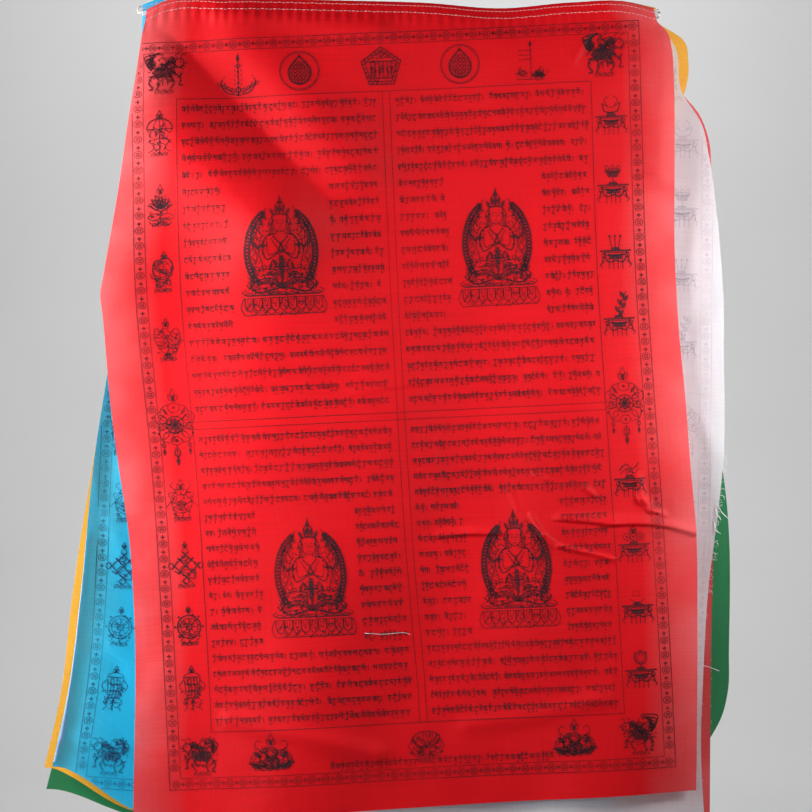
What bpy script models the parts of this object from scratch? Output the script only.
"""Ten printed cloth flags that hang as one stack from a cord running through their top hems."""

import math
from collections import namedtuple

import bpy
import numpy as np

# Sizes are in millimetres: x runs across, y from front to back, and a drop is measured down from the top
MM = 0.001

# The cloth, its top hem and the cord
CLOTH_THICK = 1.1
HEM_DEPTH = 12.5
HEM_LAYER_GAP = 0.4
TUNNEL_MID_RADIUS = 1.8
TUNNEL_STEPS = 5
CORD_RADIUS = 0.65
CORD_END = 7.0
CORD_STRAIGHT = 1.2
CORD_TURN_REACH = 2.8
CORD_TURN_STEPS = 5

# The stack: distance from flag to flag at the hems and at the feet
PITCH_TOP = 6.4
PITCH_FOOT = 7.6
SPREAD_DROP = 620.0

# How soon the lean of the hems dies out below them
LEAN_FADE = 22.0

# Columns and rows of each sheet, close together near the hem
Grid = namedtuple("Grid", "columns rows")
OUTER_GRID = Grid(columns=20, rows=15)
INNER_GRID = Grid(columns=10, rows=8)
ROW_CROWDING = 1.35
SELVEDGE = 0.012

# Colour of each dye, as linear red, green and blue
DYES = {
    "red": (0.80, 0.020, 0.022),
    "white": (0.83, 0.84, 0.88),
    "blue": (0.012, 0.36, 0.68),
    "yellow": (0.92, 0.45, 0.040),
    "green": (0.008, 0.19, 0.060),
}
CORD_COLOUR = (0.62, 0.60, 0.58)

# The top edge of the front flag: how high it stands and how far back the slack hem has sunk
Top = namedtuple("Top", "across rise back")
TOP_LINE = (
    Top(0.00, -5.0, 2.0),
    Top(0.035, 2.5, 2.5),
    Top(0.16, 5.0, 4.0),
    Top(0.40, 4.0, 8.0),
    Top(0.55, 2.5, 11.5),
    Top(0.70, -2.0, 13.5),
    Top(0.84, 2.5, 9.0),
    Top(0.95, 2.0, 3.5),
    Top(1.00, -4.0, 2.0),
)

# Soft upright folds that the whole stack shares: a plus depth is a hollow, a minus depth a swell
Flute = namedtuple("Flute", "centre slant width top foot")
FLUTES = (
    Flute(centre=-175.0, slant=-0.06, width=58.0, top=1.0, foot=6.0),
    Flute(centre=-70.0, slant=-0.02, width=62.0, top=-2.0, foot=-5.0),
    Flute(centre=45.0, slant=0.03, width=60.0, top=3.0, foot=5.0),
    Flute(centre=140.0, slant=0.05, width=48.0, top=-2.0, foot=-4.5),
    Flute(centre=228.0, slant=0.05, width=34.0, top=3.0, foot=4.5),
)

# Folds of the front flag alone, each a ridge towards the front between two places. A ridge with a face
# falls over that distance to a sharp valley on its upper right side
Ridge = namedtuple("Ridge", "x drop end_x end_drop width height face")
FACE_POWER = 1.6
FRONT_RIDGES = (
    Ridge(x=-222.0, drop=99.0, end_x=-122.0, end_drop=203.0, width=48.0, height=16.0, face=58.0),
    Ridge(x=-142.0, drop=36.0, end_x=-36.0, end_drop=150.0, width=28.0, height=6.0, face=0.0),
    Ridge(x=-160.0, drop=14.0, end_x=-20.0, end_drop=26.0, width=11.0, height=2.5, face=0.0),
    Ridge(x=234.0, drop=35.0, end_x=228.0, end_drop=150.0, width=14.0, height=5.0, face=0.0),
    Ridge(x=255.0, drop=462.0, end_x=60.0, end_drop=474.0, width=14.0, height=1.8, face=0.0),
    Ridge(x=205.0, drop=492.0, end_x=115.0, end_drop=462.0, width=14.0, height=1.5, face=0.0),
)

# Side edges of each kind of hang: where the left and right edge lie at some drops
Edge = namedtuple("Edge", "drop left right")
FRONT_EDGES = (
    Edge(0, -224, 224),
    Edge(13, -226, 228),
    Edge(22, -228, 236),
    Edge(36, -230, 240),
    Edge(60, -233, 242),
    Edge(95, -238, 243),
    Edge(150, -247, 243),
    Edge(235, -262, 244),
    Edge(253, -265, 245),
    Edge(272, -263, 246),
    Edge(350, -256, 253),
    Edge(405, -249, 257),
    Edge(465, -240, 262),
    Edge(540, -235, 263),
    Edge(720, -236, 262),
)
WHITE_EDGES = (
    Edge(0, -222, 227),
    Edge(14, -223, 229),
    Edge(28, -224, 241),
    Edge(75, -226, 251),
    Edge(100, -227, 267),
    Edge(130, -228, 274),
    Edge(182, -233, 281),
    Edge(226, -247, 285),
    Edge(265, -258, 287),
    Edge(300, -258, 287),
    Edge(395, -248, 287),
    Edge(447, -240, 282),
    Edge(510, -234, 274),
    Edge(594, -232, 269),
    Edge(656, -232, 267),
    Edge(722, -232, 270),
)
BLUE_EDGES = (
    Edge(0, -229, 226),
    Edge(85, -231, 238),
    Edge(190, -238, 246),
    Edge(255, -249, 246),
    Edge(325, -259, 241),
    Edge(395, -270, 234),
    Edge(532, -284, 218),
    Edge(603, -293, 206),
    Edge(690, -311, 192),
)
YELLOW_EDGES = (
    Edge(0, -226, 228),
    Edge(14, -227, 230),
    Edge(28, -228, 251),
    Edge(50, -229, 257),
    Edge(100, -231, 248),
    Edge(255, -246, 246),
    Edge(395, -272, 235),
    Edge(532, -293, 215),
    Edge(603, -301, 204),
    Edge(690, -320, 188),
)
GREEN_EDGES = (
    Edge(0, -225, 226),
    Edge(85, -229, 238),
    Edge(255, -243, 246),
    Edge(390, -262, 238),
    Edge(520, -285, 219),
    Edge(603, -294, 208),
    Edge(700, -317, 191),
)
SECOND_RED_EDGES = (
    Edge(0, -223, 228),
    Edge(14, -223, 230),
    Edge(70, -226, 252),
    Edge(88, -226, 267),
    Edge(110, -227, 276),
    Edge(142, -227, 279),
    Edge(255, -226, 281),
    Edge(400, -226, 282),
    Edge(560, -228, 279),
    Edge(720, -230, 278),
)
REAR_EDGES = (
    Edge(0, -224, 227),
    Edge(100, -229, 253),
    Edge(300, -238, 264),
    Edge(520, -247, 262),
    Edge(705, -252, 256),
)
LAST_EDGES = (
    Edge(0, -222, 229),
    Edge(100, -225, 257),
    Edge(255, -226, 275),
    Edge(400, -226, 291),
    Edge(440, -226, 296),
    Edge(575, -226, 298),
    Edge(612, -227, 297),
    Edge(636, -227, 291),
    Edge(655, -228, 281),
)

# The flags from the front to the back: dye, side edges, drop at each side, lift of each bottom corner,
# rise of each end of the hem, and how far the free left edge has rolled forwards
Flag = namedtuple("Flag", "dye edges left_drop right_drop left_lift right_lift left_rise right_rise roll")
FLAGS = (
    Flag("red", FRONT_EDGES, 727, 697, 0, 0, 0, 0, 0),
    Flag("white", WHITE_EDGES, 724, 722, 0, 0, -1, -1, 0),
    Flag("blue", BLUE_EDGES, 722, 712, 45, 0, 6, -2, 3.5),
    Flag("yellow", YELLOW_EDGES, 722, 706, 43, 0, 2, 3, 1.5),
    Flag("green", GREEN_EDGES, 728, 710, 29, 0, 1, -1, 1.5),
    Flag("red", SECOND_RED_EDGES, 708, 726, 0, 0, 0, -2, 0),
    Flag("white", REAR_EDGES, 706, 714, 0, 0, 2, 0, 0),
    Flag("blue", REAR_EDGES, 702, 708, 0, 0, 0, 1, 0),
    Flag("yellow", REAR_EDGES, 700, 704, 0, 0, 1, -1, 0),
    Flag("green", LAST_EDGES, 696, 672, 0, 14, 0, 0, 0),
)
CORNER_REACH = 0.18
END_RISE_POWER = 7

# Small waves of each flag's own, which stay well under the space between two flags
WAVE_HEIGHT = 1.1
WAVE_LENGTH = 150.0
WAVE_STEP = 2.4
WAVE_START = 40.0


class Curve:
    """A smooth curve through a short table, level past both of its ends."""

    def __init__(self, places, values):
        self.places = np.array(places, float)
        self.values = np.array(values, float)
        self.slopes = np.gradient(self.values, self.places)

    def at(self, place):
        place = min(max(place, self.places[0]), self.places[-1])
        first = min(np.searchsorted(self.places, place, side="right"), len(self.places) - 1) - 1
        span = self.places[first + 1] - self.places[first]
        t = (place - self.places[first]) / span
        start, end = self.values[first], self.values[first + 1]
        start_slope, end_slope = span * self.slopes[first], span * self.slopes[first + 1]
        blend = t * t * (3 - 2 * t)
        bend = t * (1 - t) * ((1 - t) * start_slope - t * end_slope)
        return start + (end - start) * blend + bend


def curve_of(table, place, value):
    return Curve([getattr(row, place) for row in table], [getattr(row, value) for row in table])


RISE = curve_of(TOP_LINE, "across", "rise")
BACK = curve_of(TOP_LINE, "across", "back")

# The origin: the middle of the stack's top edge, from which the whole string is held up
HANG_POINT = np.array([0.0, BACK.at(0.5), RISE.at(0.5)])


def smooth_step(value):
    value = min(max(value, 0.0), 1.0)
    return value * value * (3 - 2 * value)


def flute_depth(x, drop):
    """Depth of the folds that every flag of the stack shares."""
    depth = 0.0
    for flute in FLUTES:
        aside = (x - flute.centre - flute.slant * drop) / flute.width
        height = flute.top + (flute.foot - flute.top) * smooth_step(drop / SPREAD_DROP)
        depth += height * math.exp(-aside * aside)
    return depth * smooth_step(drop / SPREAD_DROP * 6)


def ridge_share(ridge, aside):
    """The share of a ridge's height that is left at a distance to one side of it."""
    if ridge.face and aside < 0:
        return max(1 - (-aside / ridge.face) ** FACE_POWER, 0.0)
    return math.exp(-((aside / ridge.width) ** 2))


def ridge_height(x, drop):
    """How far the front flag's own folds stand out towards the front."""
    height = 0.0
    for ridge in FRONT_RIDGES:
        run_x, run_drop = ridge.end_x - ridge.x, ridge.end_drop - ridge.drop
        length = math.hypot(run_x, run_drop)
        along = ((x - ridge.x) * run_x + (drop - ridge.drop) * run_drop) / length
        aside = ((drop - ridge.drop) * run_x - (x - ridge.x) * run_drop) / length
        past = max(-along, along - length, 0.0)
        height += ridge.height * ridge_share(ridge, aside) * math.exp(-((past / ridge.width) ** 2))
    return height


class Sheet:
    """The hang of one flag: where each spot of its cloth lies."""

    def __init__(self, place, flag):
        self.place = place
        self.flag = flag
        self.left = curve_of(flag.edges, "drop", "left")
        self.right = curve_of(flag.edges, "drop", "right")
        self.outer = place in (0, len(FLAGS) - 1)

    def drop_at(self, across):
        """Drop of the bottom edge below the top, which bends less, less the lift of the corner close by."""
        flag = self.flag
        drop = flag.left_drop + (flag.right_drop - flag.left_drop) * across + self.top_at(across)
        near_left = smooth_step(1 - across / CORNER_REACH)
        near_right = smooth_step(1 - (1 - across) / CORNER_REACH)
        return drop - flag.left_lift * near_left - flag.right_lift * near_right

    def top_at(self, across):
        left = self.flag.left_rise * (1 - across) ** END_RISE_POWER
        right = self.flag.right_rise * across**END_RISE_POWER
        return RISE.at(across) + left + right

    def depth_at(self, across, x, drop):
        pitch = PITCH_TOP + (PITCH_FOOT - PITCH_TOP) * smooth_step(drop / SPREAD_DROP)
        depth = (self.place - (len(FLAGS) - 1) / 2) * pitch
        depth += BACK.at(across) * math.exp(-drop / LEAN_FADE) + flute_depth(x, drop)
        phase = 2 * math.pi * (x + 0.3 * drop) / WAVE_LENGTH + WAVE_STEP * self.place
        depth += WAVE_HEIGHT * math.sin(phase) * smooth_step((drop - WAVE_START) / SPREAD_DROP * 3)
        if self.place == 0:
            depth -= ridge_height(x, drop)
        return depth

    def spot(self, across, drop):
        """The middle of the cloth at a share of the way across and a drop below the top edge."""
        left, right = self.left.at(drop), self.right.at(drop)
        x = left + (right - left) * across
        y = self.depth_at(across, x, drop)
        free = smooth_step((drop - WAVE_START) / SPREAD_DROP * 2)
        y -= self.flag.roll * free * smooth_step(1 - across / (2 * SELVEDGE))
        return np.array([x, y, self.top_at(across) - drop]) - HANG_POINT

    def column(self, across, rows):
        """One column of the sheet, from its foot up over the cord and down to the end of the hem."""
        foot = self.drop_at(across)
        shares = [(row / rows) ** ROW_CROWDING for row in range(rows, -1, -1)]
        spots = [self.spot(across, HEM_DEPTH + (foot - HEM_DEPTH) * share) for share in shares]
        up, back = self.hem_axes(across)
        centre = self.tunnel_centre(across)
        for step in range(TUNNEL_STEPS + 1):
            turn = math.pi * step / TUNNEL_STEPS
            spots.append(centre + TUNNEL_MID_RADIUS * (math.sin(turn) * up - math.cos(turn) * back))
        layer = (CLOTH_THICK + HEM_LAYER_GAP) * back
        below_tunnel = centre - TUNNEL_MID_RADIUS * back - 2 * TUNNEL_MID_RADIUS * up
        spots.append(below_tunnel + layer)
        spots.append(self.spot(across, HEM_DEPTH) + layer)
        return spots

    def hem_axes(self, across):
        """The hem's own up direction and, square to it, the direction towards the back."""
        top_drop = CLOTH_THICK / 2 + TUNNEL_MID_RADIUS
        run = self.spot(across, top_drop) - self.spot(across, HEM_DEPTH)
        run[0] = 0.0
        up = run / np.linalg.norm(run)
        return up, np.array([0.0, up[2], -up[1]])

    def tunnel_centre(self, across):
        """The middle of the hem's tunnel, where the cord runs."""
        _, back = self.hem_axes(across)
        return self.spot(across, CLOTH_THICK / 2 + TUNNEL_MID_RADIUS) + TUNNEL_MID_RADIUS * back

    def shares(self):
        """Shares of the width at which the columns stand, one close to each side edge."""
        columns = (OUTER_GRID if self.outer else INNER_GRID).columns
        inside = [SELVEDGE + (1 - 2 * SELVEDGE) * step / columns for step in range(columns + 1)]
        return [0.0] + inside + [1.0]


def surface_normals(grid):
    """Unit normals of a grid of points, towards the front on the main part of the flag."""
    along = np.gradient(grid, axis=0)
    up = np.empty_like(grid)
    up[:, 1:-1] = grid[:, 2:] - grid[:, :-2]
    up[:, 0] = grid[:, 1] - grid[:, 0]
    up[:, -1] = grid[:, -1] - grid[:, -2]
    normals = np.cross(along, up)
    return normals / np.linalg.norm(normals, axis=2, keepdims=True)


def closed_sheet_faces(columns, rows):
    """Faces of a sheet whose two sides are grids of points: the front one first, then the back one."""
    half = columns * rows
    faces = []
    for column in range(columns - 1):
        for row in range(rows - 1):
            a, b = column * rows + row, (column + 1) * rows + row
            faces.append((a, b, b + 1, a + 1))
            faces.append((half + a, half + a + 1, half + b + 1, half + b))
    rim = [column * rows for column in range(columns)]
    rim += [(columns - 1) * rows + row for row in range(1, rows)]
    rim += [column * rows + rows - 1 for column in range(columns - 2, -1, -1)]
    rim += list(range(rows - 2, 0, -1))
    for here, ahead in zip(rim, rim[1:] + rim[:1]):
        faces.append((here, half + here, half + ahead, ahead))
    return faces


def dyed(name, colour, roughness):
    material = bpy.data.materials.new(name)
    material.use_nodes = True
    shader = material.node_tree.nodes["Principled BSDF"]
    shader.inputs["Base Color"].default_value = (*colour, 1.0)
    shader.inputs["Roughness"].default_value = roughness
    shader.inputs["Metallic"].default_value = 0.0
    material.diffuse_color = (*colour, 1.0)
    return material


def add_object(name, data, material):
    data.materials.append(material)
    body = bpy.data.objects.new(name, data)
    bpy.context.scene.collection.objects.link(body)
    return body


def add_flag(sheet, materials):
    rows = (OUTER_GRID if sheet.outer else INNER_GRID).rows
    grid = np.array([sheet.column(across, rows) for across in sheet.shares()])
    offset = surface_normals(grid) * CLOTH_THICK / 2
    points = np.concatenate([(grid + offset).reshape(-1, 3), (grid - offset).reshape(-1, 3)])
    name = f"flag_{sheet.place + 1:02d}_{sheet.flag.dye}"
    mesh = bpy.data.meshes.new(name)
    mesh.from_pydata((points * MM).tolist(), [], closed_sheet_faces(grid.shape[0], grid.shape[1]))
    mesh.validate()
    mesh.shade_smooth()
    return add_object(name, mesh, materials[sheet.flag.dye])


def cord_route(sheets):
    """Points of the cord: through each hem in turn, with a tight turn from one flag to the next."""
    route = []
    for sheet in sheets:
        shares = sheet.shares()
        rightwards = sheet.place % 2 == 0
        run = [sheet.tunnel_centre(across) for across in (shares if rightwards else shares[::-1])]
        if route:
            route += cord_turn(route[-1], run[0], 1 if not rightwards else -1)
        route += run
    out = np.array([-CORD_END, 0.0, 0.0])
    return [route[0] + out] + route + [route[-1] + out]


def cord_turn(start, end, side):
    """The bend past the ends of two hems, on the right for a side of 1 and on the left for -1."""
    outermost = side * max(side * start[0], side * end[0])
    leaving, entering = start.copy(), end.copy()
    leaving[0] = entering[0] = outermost + side * CORD_STRAIGHT
    points = [leaving]
    for step in range(1, CORD_TURN_STEPS):
        turn = math.pi * step / CORD_TURN_STEPS
        share = (1 - math.cos(turn)) / 2
        shares = np.array([share, share, smooth_step(share)])
        reach = np.array([side * CORD_TURN_REACH * math.sin(turn), 0.0, 0.0])
        points.append(leaving + (entering - leaving) * shares + reach)
    return points + [entering]


def add_cord(sheets, material):
    route = cord_route(sheets)
    curve = bpy.data.curves.new("header_cord", "CURVE")
    curve.dimensions = "3D"
    curve.bevel_depth = CORD_RADIUS * MM
    curve.bevel_resolution = 2
    curve.use_fill_caps = True
    spline = curve.splines.new("POLY")
    spline.points.add(len(route) - 1)
    for point, place in zip(spline.points, route):
        point.co = (*(place * MM), 1.0)
    spline.use_smooth = True
    return add_object("header_cord", curve, material)


def main():
    for body in list(bpy.data.objects):
        bpy.data.objects.remove(body)
    materials = {dye: dyed(f"{dye}_cloth", colour, 0.55) for dye, colour in DYES.items()}
    sheets = [Sheet(place, flag) for place, flag in enumerate(FLAGS)]
    for sheet in sheets:
        add_flag(sheet, materials)
    add_cord(sheets, dyed("cord_yarn", CORD_COLOUR, 0.8))


main()
